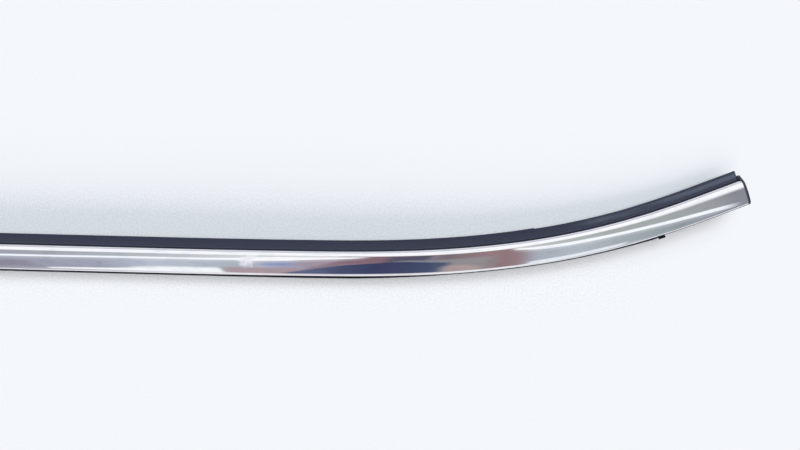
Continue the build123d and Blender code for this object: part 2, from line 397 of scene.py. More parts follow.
def shape_seal(points, place):
    bead_end = FACE + BEAD_WIDTH
    change = change_at(UPPER_LIP_CHANGE, place)
    trimmed = place > RUN - LIP_TRIM_RUN
    out = points.copy()
    free = out[:, 0] > bead_end
    share = (out[free, 0] - bead_end) / (UPPER_LIP_REACH - BEAD_WIDTH)
    moved = change + LIP_TRIM if trimmed else change
    out[free, 0] += share * moved
    if trimmed:
        out[free, 0] = np.minimum(out[free, 0], FACE + UPPER_LIP_REACH + change)
    return out


def shape_lower_lip(points, place):
    root = HEM_END + LOWER_LIP_CLEAR
    change = change_at(LOWER_LIP_CHANGE, place)
    out = points.copy()
    free = out[:, 0] < root
    share = (root - out[free, 0]) / (root + LOWER_LIP_REACH)
    out[free, 0] -= share * change
    if place > RUN - LOWER_LIP_END - LOWER_LIP_NOTCH_RUN:
        out[:, 0] = np.maximum(out[:, 0], LOWER_LIP_NOTCH - LOWER_LIP_REACH)
    return out


def shape_remnant(points, place):
    """The lower lip's section past the block, cut off just below the steel, where it shows as a thin dark line
    under the hem.
    """
    out = points.copy()
    out[:, 0] = np.maximum(out[:, 0], -LOWER_LIP_REMNANT)
    return out


# Meshes

def sweep(name, section, where, shape=None, bands=()):
    """Closed piece with the section at each place; its UV map holds metres along the run and round the section.
    bands gives the stretches of the outline that take the second material."""
    count = len(section)
    verts = []
    for place in where:
        points = shape(section, place) if shape else section
        verts += [put(place, u, w, CUT_SKEW if place >= RUN else 0.0) for u, w in points]
    lengths = np.linalg.norm(np.diff(section, axis=0, append=section[:1]), axis=1)
    girth = np.concatenate([[0.0], np.cumsum(lengths)])
    faces, slots, uvs = [], [], []
    second = np.zeros(count, bool)
    for begin, finish in bands:
        second[begin:finish] = True
    for i in range(len(where) - 1):
        near, far = where[i] * MM, where[i + 1] * MM
        for j in range(count):
            k = (j + 1) % count
            faces.append((i * count + j, i * count + k, (i + 1) * count + k, (i + 1) * count + j))
            slots.append(int(second[j]))
            low, high = girth[j] * MM, girth[j + 1] * MM
            uvs += [(near, low), (near, high), (far, high), (far, low)]
    ends = [list(range(count))[::-1], [(len(where) - 1) * count + j for j in range(count)]]
    for ring in ends:
        faces.append(ring)
        slots.append(0)
        uvs += [(section[j % count][0] * MM, section[j % count][1] * MM) for j in ring]
    return from_rings(name, verts, faces, uvs, slots)


def in_scene(name, data):
    """The data as an object of the scene."""
    made = bpy.data.objects.new(name, data)
    bpy.context.scene.collection.objects.link(made)
    return made


def shaded(name, mesh, angle):
    """The mesh as a piece, shaded smooth but for edges that turn by more than the angle."""
    mesh.shade_smooth()
    mesh.set_sharp_from_angle(angle=math.radians(angle))
    return in_scene(name, mesh)


def from_rings(name, verts, faces, uvs, slots):
    mesh = bpy.data.meshes.new(name)
    mesh.from_pydata(verts, [], faces)
    layer = mesh.uv_layers.new(name="UVMap")
    layer.data.foreach_set("uv", np.array(uvs, np.float32).ravel())
    mesh.polygons.foreach_set("material_index", np.array(slots, np.int32))
    mesh.update()
    mesh.validate()
    return shaded(name, mesh, SWEEP_SHARP)


def from_bmesh(name, bm, angle):
    bmesh.ops.recalc_face_normals(bm, faces=bm.faces)
    mesh = bpy.data.meshes.new(name)
    bm.to_mesh(mesh)
    bm.free()
    return shaded(name, mesh, angle)


def prism(bm, outline, near, far, taper=0.0, skew=0.0):
    """Adds a prism between two places of the run."""
    rings = []
    middle = np.mean(outline, axis=0)
    for place, share in ((near, 0.0), (far, 1.0)):
        ring = []
        for u, w in outline:
            if taper and share:
                u += -math.copysign(taper, u - middle[0])
                w += -math.copysign(taper, w - middle[1])
            ring.append(bm.verts.new(put(place, u, w, skew)))
        rings.append(ring)
    faces = [bm.faces.new(rings[0]), bm.faces.new(rings[1])]
    for j in range(len(outline)):
        k = (j + 1) % len(outline)
        bm.faces.new((rings[0][j], rings[0][k], rings[1][k], rings[1][j]))
    return faces


def cap_outline():
    cover = FACE + CAP_COVER
    top = TUCK + GROOVE_BITE + BEAD_HEIGHT + CAP_PROUD
    foot = TUCK + GROOVE_BITE - UPPER_LIP_ROOT - CAP_PROUD
    base = BACK_FACE - CAP_PROUD
    roll = TOP_ROLL + CAP_PROUD
    across, rise = cover - TOP_ROLL_MIDDLE, top - TOP_ROLL_HEIGHT
    slope = math.degrees(math.atan2(rise, across) + math.acos(roll / math.hypot(across, rise)))
    line = arc(TOP_ROLL_MIDDLE, TOP_ROLL_HEIGHT, roll, slope, CROWN_START, 12)
    line += arc(CROWN_MIDDLE, CROWN_HEIGHT, CROWN_RADIUS + CAP_PROUD, CROWN_START, CROWN_END, 24)[1:]
    line += arc(HEM_ROLL, HEM_HEIGHT, HEM_ROLL + CAP_PROUD, CROWN_END, 180, 8)[1:]
    corners = [(-CAP_PROUD, base), (FACE, base), (FACE, foot), (cover, foot), (cover, top)]
    line += fillet([(-CAP_PROUD, HEM_HEIGHT), *corners, line[0]], [CAP_CORNER] * len(corners))[1:]
    return tidy(line)


def make_cap(name, end, outward, skew):
    """Cap with a rounded rim on its outer face, and the plug that holds it in the channel."""
    bm = bmesh.new()
    outer = prism(bm, cap_outline(), end, end + outward * CAP_PLATE, skew=skew)[1]
    bmesh.ops.bevel(
        bm, geom=list(outer.edges), offset=CAP_RIM * MM, segments=4, profile=0.5, affect="EDGES",
        clamp_overlap=True,
    )
    lip_foot = STRIP + LOWER_LIP_CLEAR + LOWER_LIP
    floor = CHANNEL_FLOOR + CAP_PLUG_CLEAR
    ceiling = CHANNEL_TOP - max(FIN_HEIGHT, lip_foot) - CAP_PLUG_CLEAR
    mouth = TOE + 2 * TOE_BEAD + CAP_PLUG_CLEAR
    back = CHANNEL_END - CAP_PLUG_CLEAR
    plug = [(mouth, floor), (back, floor), (back, ceiling), (mouth, ceiling)]
    prism(bm, plug, end + outward * CAP_PLUG_ROOT, end - outward * CAP_PLUG, CAP_PLUG_TAPER)
    return from_bmesh(name, bm, CAP_SHARP)


def make_block():
    begin = RUN - LOWER_LIP_END + BLOCK_GAP
    bm = bmesh.new()
    outline = [
        (-BLOCK_REACH, HEM_FACE - BLOCK_HEIGHT),
        (HEM_END, HEM_FACE - BLOCK_HEIGHT),
        (HEM_END, HEM_FACE),
        (-BLOCK_REACH, HEM_FACE),
    ]
    prism(bm, outline, begin, begin + BLOCK_LENGTH)
    bmesh.ops.bevel(bm, geom=list(bm.edges), offset=BLOCK_ROUND * MM, segments=4, profile=0.5, affect="EDGES")
    return from_bmesh("lip_end_block_moulded", bm, BLOCK_SHARP)


# Node helpers

def socket(links, target, value):
    """Links the value to the socket if it comes from a node, and otherwise sets it."""
    if isinstance(value, bpy.types.NodeSocket):
        links.new(value, target)
    else:
        target.default_value = value


class Graph:
    def __init__(self, tree):
        self.nodes = tree.nodes
        self.links = tree.links
        self.nodes.clear()

    def add(self, kind, **settings):
        node = self.nodes.new(kind)
        for key, value in settings.items():
            setattr(node, key, value)
        return node

    def math(self, operation, *values, clamp=False):
        node = self.add("ShaderNodeMath", operation=operation, use_clamp=clamp)
        for slot, value in zip(node.inputs, values):
            socket(self.links, slot, value)
        return node.outputs[0]

    def plus(self, a, b, clamp=False):
        return self.math("ADD", a, b, clamp=clamp)

    def minus(self, a, b, clamp=False):
        return self.math("SUBTRACT", a, b, clamp=clamp)

    def times(self, a, b):
        return self.math("MULTIPLY", a, b)

    def remap(self, value, low, high, bottom=0.0, top=1.0, kind="LINEAR"):
        """The range from low to high drawn out to bottom and top."""
        node = self.add("ShaderNodeMapRange", interpolation_type=kind)
        for slot, given in zip(node.inputs, (value, low, high, bottom, top)):
            socket(self.links, slot, given)
        return node.outputs[0]

    def ramp(self, value, low, high):
        """0 below low and 1 above high, with a smooth step between them."""
        return self.remap(value, low, high, kind="SMOOTHSTEP")

    def edge(self, value, at, soft):
        """0 below the place and 1 above it, softened by so much to each side."""
        return self.ramp(value, self.minus(at, soft), self.plus(at, soft))

    def span(self, value, low, high, soft):
        """1 between low and high, with soft edges."""
        return self.minus(self.edge(value, low, soft), self.edge(value, high, soft), clamp=True)

    def window(self, x, left, right, soft, y, low, high, blur):
        """1 in a rectangle with soft edges."""
        return self.times(self.span(x, left, right, soft), self.span(y, low, high, blur))

    def curve(self, value, points, low, high, bottom, top):
        """Value read from a smooth curve through the points."""
        node = self.add("ShaderNodeFloatCurve")
        line = node.mapping.curves[0]
        scaled = [((x - low) / (high - low), (y - bottom) / (top - bottom)) for x, y in points]
        line.points[0].location = scaled[0]
        line.points[1].location = scaled[-1]
        for spot in scaled[1:-1]:
            line.points.new(*spot)
        node.mapping.update()
        self.links.new(self.remap(value, low, high), node.inputs["Value"])
        return self.remap(node.outputs[0], 0.0, 1.0, bottom, top)

    def colours(self, value, stops, low, high):
        """Colour read from stops of value and colour."""
        share = self.remap(value, low, high)
        node = self.add("ShaderNodeValToRGB")
        elements = node.color_ramp.elements
        while len(elements) > 1:
            elements.remove(elements[-1])
        elements[0].position = (stops[0][0] - low) / (high - low)
        elements[0].color = (*stops[0][1], 1)
        for place, colour in stops[1:]:
            element = elements.new((place - low) / (high - low))
            element.color = (*colour, 1)
        self.links.new(share, node.inputs[0])
        return node.outputs[0]

    def mix(self, share, one, two):
        """One colour, or two where the share is 1."""
        node = self.add("ShaderNodeMix", data_type="RGBA")
        socket(self.links, node.inputs["Factor"], share)
        for slot, colour in zip(node.inputs[6:8], (one, two)):
            socket(self.links, slot, (*colour, 1) if isinstance(colour, tuple) else colour)
        return node.outputs[2]

    def shade(self, share, one, two):
        """One shader, or two where the share is 1."""
        node = self.add("ShaderNodeMixShader")
        for slot, value in zip(node.inputs, (share, one, two)):
            self.links.new(value, slot)
        return node.outputs[0]

    def split(self, vector):
        """The three parts of a vector."""
        node = self.add("ShaderNodeSeparateXYZ")
        self.links.new(vector, node.inputs[0])
        return node.outputs

    def uv(self):
        """Metres along the run and round the section."""
        return self.add("ShaderNodeUVMap", uv_map="UVMap").outputs[0]

    def noise(self, vector, scale, detail, roughness):
        node = self.add("ShaderNodeTexNoise")
        self.links.new(vector, node.inputs["Vector"])
        node.inputs["Scale"].default_value = scale
        node.inputs["Detail"].default_value = detail
        node.inputs["Roughness"].default_value = roughness
        return node.outputs["Fac"]

    def grain(self, uv, along, around, detail, roughness):
        """Noise with so many grains to the metre along the run and round the section."""
        node = self.add("ShaderNodeMapping")
        self.links.new(uv, node.inputs["Vector"])
        node.inputs["Scale"].default_value = (along, around, 1.0)
        return self.noise(node.outputs["Vector"], 1.0, detail, roughness)

    def bump(self, height, distance, normal=None):
        node = self.add("ShaderNodeBump")
        node.inputs["Distance"].default_value = distance
        self.links.new(height, node.inputs["Height"])
        if normal is not None:
            self.links.new(normal, node.inputs["Normal"])
        return node.outputs["Normal"]


def linear(*rgb):
    """A colour of the screen, 0 to 255, as the renderer counts it."""
    return tuple(c / 255 / 12.92 if c / 255 <= 0.04045 else ((c / 255 + 0.055) / 1.055) ** 2.4 for c in rgb)


def material(name):
    made = bpy.data.materials.new(name)
    made.use_nodes = True
    graph = Graph(made.node_tree)
    shader = graph.add("ShaderNodeBsdfPrincipled")
    output = graph.add("ShaderNodeOutputMaterial")
    graph.links.new(shader.outputs[0], output.inputs[0])
    return made, graph, shader


def steel_material():
    """Bright rolled steel: a mirror with fine lines along the run, a slight wave and a little wear."""
    made, g, shader = material("bright_rolled_steel")
    uv = g.uv()
    along, across = g.split(uv)[:2]
    lines = g.grain(uv, 9.0, 2600.0, 4.0, 0.6)
    cloud = g.grain(uv, 45.0, 160.0, 3.0, 0.55)
    # A rubbed patch with a mark across it, another mark further along, and specks
    patch = g.window(along, 0.5885, 0.5965, 0.0012, across, 0.0085, 0.0160, 0.0015)
    mark = g.window(along, 0.5908, 0.5913, 0.0003, across, 0.0082, 0.0150, 0.0010)
    far_mark = g.window(along, 0.6588, 0.6592, 0.0003, across, 0.0078, 0.0110, 0.0010)
    specks = g.ramp(g.grain(uv, 900.0, 900.0, 2.0, 0.6), 0.72, 0.80)
    rough = 0.012
    for wear, depth in (
        (lines, 0.022), (cloud, 0.016), (patch, 0.006), (mark, 0.03), (far_mark, 0.06), (specks, 0.05),
    ):
        rough = g.plus(g.times(wear, depth), rough)
    g.links.new(rough, shader.inputs["Roughness"])
    tint = g.mix(lines, (0.775, 0.780, 0.795), (0.815, 0.815, 0.820))
    # Thumb marks, faint and longer along the run than across it, and one greyer spot
    smudge = g.ramp(g.grain(uv, 75.0, 230.0, 4.0, 0.6), 0.46, 0.70)
    tint = g.mix(g.times(smudge, 0.5), tint, (0.66, 0.67, 0.70))
    spot = g.window(along, 0.5022, 0.5052, 0.0012, across, 0.0128, 0.0142, 0.0006)
    tint = g.mix(g.times(spot, 0.25), tint, (0.50, 0.50, 0.53))
    g.links.new(tint, shader.inputs["Base Color"])
    shader.inputs["Metallic"].default_value = 1.0
    wave = g.grain(uv, 14.0, 55.0, 2.0, 0.5)
    first = g.bump(wave, 0.000012)
    g.links.new(g.bump(lines, 0.0000005, first), shader.inputs["Normal"])
    return made


def rubber_material(tip, bead, steel_edge):
    """Extruded rubber: satin black with die lines along the run, a fine skin and a little dust, with painted
    shade in the groove beside the steel, a painted highlight along the bead and, towards the kicked end, pale
    patches of painted reflection on the top of the upper lip. The lip's top runs from tip to bead round the
    section, and the bead from there to the steel, in metres."""
    made, g, shader = material("black_extruded_rubber")
    uv = g.uv()
    along, around = g.split(uv)[:2]
    lines = g.grain(uv, 12.0, 2400.0, 4.0, 0.6)
    skin = g.grain(uv, 2600.0, 2600.0, 3.0, 0.6)
    cloud = g.grain(uv, 30.0, 240.0, 3.0, 0.55)
    dust = g.ramp(g.grain(uv, 1500.0, 1500.0, 4.0, 0.7), 0.66, 0.76)
    dusty = g.times(dust, g.ramp(cloud, 0.45, 0.7))
    base = g.mix(cloud, (0.0050, 0.0085, 0.028), (0.0105, 0.0150, 0.040))
    base = g.mix(g.times(lines, 0.35), base, (0.015, 0.019, 0.043))
    # Painted shade: a darker line in the groove where the bead meets the steel
    groove = g.span(around, steel_edge - 0.00045, steel_edge + 0.0006, 0.00015)
    base = g.mix(g.times(groove, 0.7), base, (0.002, 0.002, 0.005))
    # Painted highlight: a lighter line along the bead next to the groove
    bead_painted_highlight = g.span(around, bead + 0.0002, steel_edge - 0.00075, 0.0002)
    base = g.mix(g.times(bead_painted_highlight, 0.7), base, (0.032, 0.036, 0.062))
    base = g.mix(g.times(dusty, 0.12), base, (0.30, 0.30, 0.31))
    # Painted reflection: pale bluish patches on the top of the upper lip, fading in from 112 to 84 mm before
    # the kicked end
    patches = g.ramp(g.grain(uv, 30.0, 200.0, 4.0, 0.6), 0.18, 0.62)
    painted_lip_reflection = g.times(g.ramp(along, (RUN - 112.0) * MM, (RUN - 84.0) * MM), patches)
    painted_lip_reflection = g.times(painted_lip_reflection, g.span(around, tip + 0.0022, bead - 0.0010, 0.0009))
    base = g.mix(g.times(painted_lip_reflection, 0.75), base, (0.080, 0.098, 0.138))
    g.links.new(base, shader.inputs["Base Color"])
    rough = g.plus(g.times(cloud, 0.12), g.times(lines, 0.10))
    g.links.new(g.plus(rough, 0.27), shader.inputs["Roughness"])
    first = g.bump(lines, 0.000006)
    g.links.new(g.bump(skin, 0.000003, first), shader.inputs["Normal"])
    return made


def lip_rubber_material():
    """The thin lip under the steel: the seal's rubber painted darker for the shade under the steel, with die
    lines and a dull skin.
    """
    made, g, shader = material("lip_rubber_painted_shade")
    uv = g.uv()
    lines = g.grain(uv, 15.0, 3000.0, 3.0, 0.6)
    skin = g.grain(uv, 2600.0, 2600.0, 3.0, 0.6)
    # Painted shade: a darker base colour than the seal's rubber, for the shade the lip lies in under the steel
    base = g.mix(lines, (0.0025, 0.0030, 0.0070), (0.0065, 0.0080, 0.0150))
    g.links.new(base, shader.inputs["Base Color"])
    g.links.new(g.plus(g.times(skin, 0.15), 0.50), shader.inputs["Roughness"])
    shader.inputs["Specular IOR Level"].default_value = 0.30
    g.links.new(g.bump(skin, 0.000004), shader.inputs["Normal"])
    return made


def flock_material():
    """Short fibres on the wiping lips."""
    made, g, shader = material("flocked_lip")
    uv = g.uv()
    fibres = g.grain(uv, 5200.0, 5200.0, 3.0, 0.7)
    patches = g.grain(uv, 60.0, 300.0, 3.0, 0.6)
    base = g.mix(fibres, (0.010, 0.010, 0.012), (0.040, 0.040, 0.045))
    base = g.mix(g.times(patches, 0.3), base, (0.055, 0.055, 0.060))
    g.links.new(base, shader.inputs["Base Color"])
    shader.inputs["Roughness"].default_value = 0.95
    shader.inputs["Sheen Weight"].default_value = 0.35
    shader.inputs["Sheen Roughness"].default_value = 0.5
    g.links.new(g.bump(fibres, 0.00006), shader.inputs["Normal"])
    return made


def plastic_material():
    """Moulded plastic with a fine spark-eroded grain."""
    made, g, shader = material("black_moulded_plastic")
    place = g.add("ShaderNodeTexCoord").outputs["Object"]
    grain = g.noise(place, 2600.0, 3.0, 0.6)
    cloud = g.noise(place, 120.0, 3.0, 0.5)
    base = g.mix(cloud, (0.024, 0.028, 0.042), (0.035, 0.041, 0.059))
    g.links.new(base, shader.inputs["Base Color"])
    rough = g.plus(g.times(grain, 0.14), 0.34)
    g.links.new(rough, shader.inputs["Roughness"])
    g.links.new(g.bump(grain, 0.000012), shader.inputs["Normal"])
    return made


def block_material():
    """Matt rubber with a rough cut skin."""
    made, g, shader = material("matt_block_rubber")
    place = g.add("ShaderNodeTexCoord").outputs["Object"]
    skin = g.noise(place, 1800.0, 4.0, 0.7)
    base = g.mix(skin, (0.0020, 0.0025, 0.0050), (0.0080, 0.0090, 0.0140))
    g.links.new(base, shader.inputs["Base Color"])
    shader.inputs["Roughness"].default_value = 0.85
    shader.inputs["Specular IOR Level"].default_value = 0.15
    g.links.new(g.bump(skin, 0.00003), shader.inputs["Normal"])
    return made


# Colours that the camera sees where no shadow falls, on the floor and beyond it
BARE_FLOOR = (0.903, 0.929, 0.972, 1)
BACKDROP = (0.896, 0.922, 0.965, 1)


def floor_material():
    """Matt white paper with a grain that is rubbed rough round the object. Past the kicked end the camera sees
    it as bright as it is where no shadow falls."""
    made, g, shader = material("pale_floor")
    place = g.add("ShaderNodeTexCoord").outputs["Object"]
    tooth = g.noise(place, 800.0, 2.0, 0.6)
    tone = g.noise(place, 3.0, 2.0, 0.5)
    base = g.mix(tone, (0.890, 0.916, 0.959), (0.902, 0.928, 0.971))
    fine = g.add("ShaderNodeVectorMath", operation="SCALE")
    g.links.new(base, fine.inputs[0])
    east, north = g.split(place)[:2]
    rubbed = g.times(g.span(north, -0.054, 0.017, 0.012), g.ramp(east, 0.42, 0.34))
    depth = g.plus(g.times(rubbed, 0.28), 0.06)
    grain = g.times(g.minus(tooth, 0.5), depth)
    g.links.new(g.plus(grain, 1.0), fine.inputs["Scale"])
    g.links.new(fine.outputs[0], shader.inputs["Base Color"])
    shader.inputs["Roughness"].default_value = 1.0
    shader.inputs["Specular IOR Level"].default_value = 0.0
    g.links.new(g.bump(tooth, 0.00001), shader.inputs["Normal"])
    bare = g.add("ShaderNodeEmission")
    bare.inputs["Color"].default_value = BARE_FLOOR
    camera_ray = g.add("ShaderNodeLightPath").outputs["Is Camera Ray"]
    past = g.times(g.ramp(east, 0.428, 0.453), camera_ray)
    both = g.shade(past, shader.outputs[0], bare.outputs[0])
    g.links.new(both, shader.outputs[0].links[0].to_node.inputs[0])
    return made


# Pieces

seal_line, seal_flock, lip_top = seal_section()
rounds = np.concatenate([[0.0], np.cumsum(np.linalg.norm(np.diff(seal_line, axis=0), axis=1))]) * MM

steel = steel_material()
bead_foot = lip_top + TIP_STEPS // 2 + TOP_STEPS
rubber = rubber_material(rounds[lip_top], rounds[bead_foot], rounds[bead_foot + BEAD_STEPS])
flock = flock_material()
plastic = plastic_material()
matt = block_material()
thin = lip_rubber_material()

trim = sweep("bright_strip", trim_section(), places(0.0, RUN))
lip_step = RUN - LIP_TRIM_RUN
step_rings = (lip_step - LIP_TRIM_STEP, lip_step + LIP_TRIM_STEP)
seal = sweep("seal_body", seal_line, places(0.0, RUN, step_rings), shape_seal, seal_flock)
lip_finish = RUN - LOWER_LIP_END + LOWER_LIP_EXTRA
notch = lip_finish - LOWER_LIP_NOTCH_RUN
lip_rings = places(0.0, notch) + [notch + LOWER_LIP_NOTCH_STEP, lip_finish]
lower = sweep("seal_lower_lip", lower_lip_section(), lip_rings, shape_lower_lip)
remnant = sweep("seal_lip_remnant", lower_lip_section(), places(lip_finish + REMNANT_GAP, RUN), shape_remnant)
kicked = make_cap("cap_kicked", RUN, 1, CUT_SKEW)
square = make_cap("cap_square", 0.0, -1, 0.0)
block = make_block()

for piece, looks, slot, node in (
    (trim, [steel], "bright_steel", "bright_trim"),
    (seal, [rubber, flock], "black_rubber", "seal_extrusion"),
    (lower, [thin], "black_rubber", "seal_extrusion"),
    (remnant, [thin], "black_rubber", "seal_extrusion"),
    (kicked, [plastic], "cap_plastic", "end_cap_kicked"),
    (square, [plastic], "cap_plastic", "end_cap_square"),
    (block, [matt], "block_rubber", "lip_end_block"),
):
    for look in looks:
        piece.data.materials.append(look)
    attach(piece, "root")
    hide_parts(node)

# Floor, light and surroundings

FLOOR_HALF = 9
FLOOR_GAP = 0.00005
corners = [(-FLOOR_HALF, -FLOOR_HALF, 0), (FLOOR_HALF, -FLOOR_HALF, 0),
           (FLOOR_HALF, FLOOR_HALF, 0), (-FLOOR_HALF, FLOOR_HALF, 0)]
floor_mesh = bpy.data.meshes.new("floor")
floor_mesh.from_pydata(corners, [], [(0, 1, 2, 3)])
floor = in_scene("floor", floor_mesh)
floor.data.materials.append(floor_material())
floor.location.z = -FLOOR_GAP


def soft_light(name, azimuth, elevation, angle, share, colour=(1.0, 1.0, 1.0)):
    """Wide distant light that gives a share of the floor's light."""
    lamp = bpy.data.lights.new(name, "SUN")
    lamp.color = colour
    lamp.angle = math.radians(angle)
    lamp.energy = share * math.pi / math.sin(math.radians(elevation))
    light = in_scene(name, lamp)
    across = math.cos(math.radians(elevation))
    direction = Vector((
        math.cos(math.radians(azimuth)) * across,
        math.sin(math.radians(azimuth)) * across,
        math.sin(math.radians(elevation)),
    ))
    light.location = direction * 2.0
    light.rotation_euler = direction.to_track_quat("Z", "Y").to_euler()
    light.visible_glossy = False


WARM = (1.10, 1.0, 0.895)
COOL = (0.953, 1.0, 1.042)
soft_light("soft_overhead", 90, 89, 16, 0.338, COOL)
soft_light("soft_back", 90, 67, 26, 0.25)
soft_light("soft_front", -148, 12.5, 14, 0.232, WARM)
soft_light("soft_left", 160, 38, 22, 0.09, COOL)


# The room that glossy surfaces see. x is a place in it from left to right, and a is the angle in degrees by
# which a ray leans from upright towards the glass side. Tones are given as they show on the steel, from 0 to
# 255, so they are brighter in the room by what the steel takes away. The tones in low_side, far_low, high_side
# and blue were adjusted until render and photo came close at columns along the steel.
STEEL_SHARE = 0.79
ENDS = (-0.75, 0.75)
WIDTH = (-0.7, 0.7)
FAN = 0.0163
FAN_LIMIT = 25.0


def tone(*rgb):
    return tuple(part / STEEL_SHARE for part in linear(*rgb))


WHITE = tone(249, 250, 252)


def gradient(g, x, stops):
    """Colour along x from stops, each of them a place and a tone."""
    return g.colours(x, [(place, tone(*rgb)) for place, *rgb in stops], *ENDS)


def over(g, share, below, above, strength=1.0):
    """The colour above laid over the one below where the share is 1."""
    return g.mix(g.times(share, strength), below, above)


def plain_sides(g, x, a):
    """The low side of the room, what lies furthest down in it, and a shadow at the left end."""
    low_side = gradient(g, x, [
        (-0.60, 149, 151, 168), (-0.50, 157, 160, 175), (-0.43, 160, 163, 178), (-0.36, 182, 188, 202),
        (-0.29, 178, 186, 196), (-0.235, 168, 175, 184), (-0.205, 178, 178, 192), (-0.175, 160, 162, 184),
        (-0.12, 160, 146, 158), (0.065, 141, 138, 142), (0.122, 147, 141, 143), (0.150, 141, 116, 121),
        (0.172, 145, 124, 129), (0.200, 166, 173, 183), (0.26, 176, 184, 192), (0.33, 164, 172, 176),
        (0.40, 150, 160, 162), (0.46, 146, 152, 160), (0.53, 138, 141, 152),
    ])
    far_low = gradient(g, x, [
        (-0.60, 164, 160, 170), (-0.52, 204, 202, 210), (-0.43, 236, 235, 240), (-0.34, 234, 233, 238),
        (-0.28, 230, 229, 234), (-0.24, 221, 218, 224), (-0.18, 206, 190, 196), (-0.08, 208, 212, 228),
        (0.06, 216, 210, 216), (0.18, 242, 239, 241), (0.26, 248, 249, 252), (0.36, 243, 246, 250),
        (0.42, 217, 222, 229), (0.47, 182, 187, 195), (0.55, 134, 138, 148),
    ])
    colour = g.mix(g.ramp(a, -17.0, -22.0), low_side, far_low)
    shadow = g.window(x, -0.70, -0.535, 0.012, a, -14.5, -4.0, 2.5)
    return over(g, shadow, colour, tone(132, 126, 138), 0.6)


def low_things(g, x, a, colour):
    """A blue and a warm patch low in front, and two white sheets that end in one wavy line."""
    sky_patch = g.window(x, -0.198, -0.155, 0.012, a, -3.6, 2.2, 1.8)
    colour = over(g, sky_patch, colour, tone(136, 150, 192), 0.75)
    warm_patch = g.window(x, -0.258, -0.145, 0.006, a, -19.0, -7.8, 2.2)
    colour = over(g, warm_patch, colour, tone(166, 146, 149), 0.85)
    line = g.curve(x, [
        (-0.70, -28.0), (-0.56, -21.0), (-0.529, -17.5), (-0.519, -15.8), (-0.445, -14.5), (-0.408, -13.6),
        (-0.385, -11.4), (-0.362, -10.0), (-0.297, -9.3), (-0.254, -9.3), (-0.10, -12.0), (0.10, -13.2),
        (0.19, -12.5), (0.26, -11.9), (0.345, -11.1), (0.45, -14.0), (0.70, -28.0),
    ], *WIDTH, -30.0, 30.0)
    blur = g.plus(g.times(g.span(x, -0.395, -0.200, 0.020), 1.9), 1.1)
    below = g.ramp(g.minus(line, a), g.times(blur, -1.0), blur)
    left_sheet = g.times(g.span(x, -0.54, -0.262, 0.004), g.ramp(a, -21.5, -16.5))
    colour = over(g, g.times(below, left_sheet), colour, tone(248, 250, 252), 0.95)
    right_sheet = g.span(x, 0.19, 0.345, 0.008)
    return over(g, g.times(below, right_sheet), colour, tone(236, 240, 248), 0.85)


def dark_screen(g, x, a, colour):
    """A dark blue screen with a warm edge on its left, a dim space over it and a lighter ledge between."""
    left = g.plus(g.times(a, 0.0056), -0.0765)
    right = g.minus(0.0625, g.times(g.math("MAXIMUM", a, 0.0), 0.0058))
    right = g.plus(right, g.times(g.span(a, -6.5, 0.5, 2.0), 0.009))
    warm_start = g.plus(g.times(a, 0.0029), -0.108)
    warm_end = g.plus(left, g.times(g.ramp(a, -1.0, 2.5), 0.05))
    warm = g.mix(g.ramp(a, -6.0, 8.0), tone(142, 120, 134), tone(128, 98, 108))
    edge = g.times(g.span(x, warm_start, warm_end, 0.010), g.ramp(a, -22.0, -16.0))
    colour = over(g, edge, colour, warm, 0.9)
    dim = g.window(x, -0.024, 0.040, 0.010, a, 1.0, 14.2, 1.2)
    colour = over(g, dim, colour, tone(86, 85, 101))
    ledge = g.times(g.span(x, left, 0.056, 0.012), g.ramp(g.minus(6.3, a), -0.8, 0.8))
    ledge = g.times(ledge, g.times(g.ramp(x, -0.022, 0.006), g.ramp(a, -1.0, 2.0)))
    colour = over(g, ledge, colour, tone(132, 133, 147), 0.85)
    top = g.curve(x, [
        (-0.10, -2.5), (-0.06, 0.4), (-0.043, 1.9), (-0.025, 2.9), (-0.005, 3.8), (0.010, 3.7), (0.03, 2.2),
        (0.06, 0.6), (0.10, 0.4),
    ], -0.1, 0.1, -10.0, 10.0)
    foot = g.plus(g.times(x, 10.0), -17.5)
    screen = g.times(g.span(x, left, right, 0.009), g.ramp(g.minus(a, foot), -1.5, 1.5))
    screen = g.times(screen, g.ramp(g.minus(top, a), -0.6, 0.6))
    blue = gradient(g, x, [
        (-0.150, 94, 104, 131), (-0.110, 85, 95, 124), (-0.080, 70, 77, 105), (-0.035, 60, 65, 98),
        (0.006, 63, 69, 98), (0.040, 66, 78, 106), (0.065, 80, 88, 112),
    ])
    return over(g, screen, colour, blue)


def right_of_screen(g, x, a, colour):
    """A pink patch and a brown frame."""
    pink_end = g.minus(0.117, g.times(g.math("MAXIMUM", g.plus(a, 12.0), 0.0), 0.004))
    pink = g.window(x, 0.071, pink_end, 0.010, a, -18.0, -6.3, 1.8)
    colour = over(g, pink, colour, tone(174, 154, 152), 0.9)
    brown = g.mix(g.ramp(x, 0.05, 0.14), tone(118, 107, 115), tone(147, 121, 125))
    frame = g.window(x, 0.046, 0.150, 0.012, a, 5.4, 15.0, 2.0)
    return over(g, frame, colour, brown, 0.95)


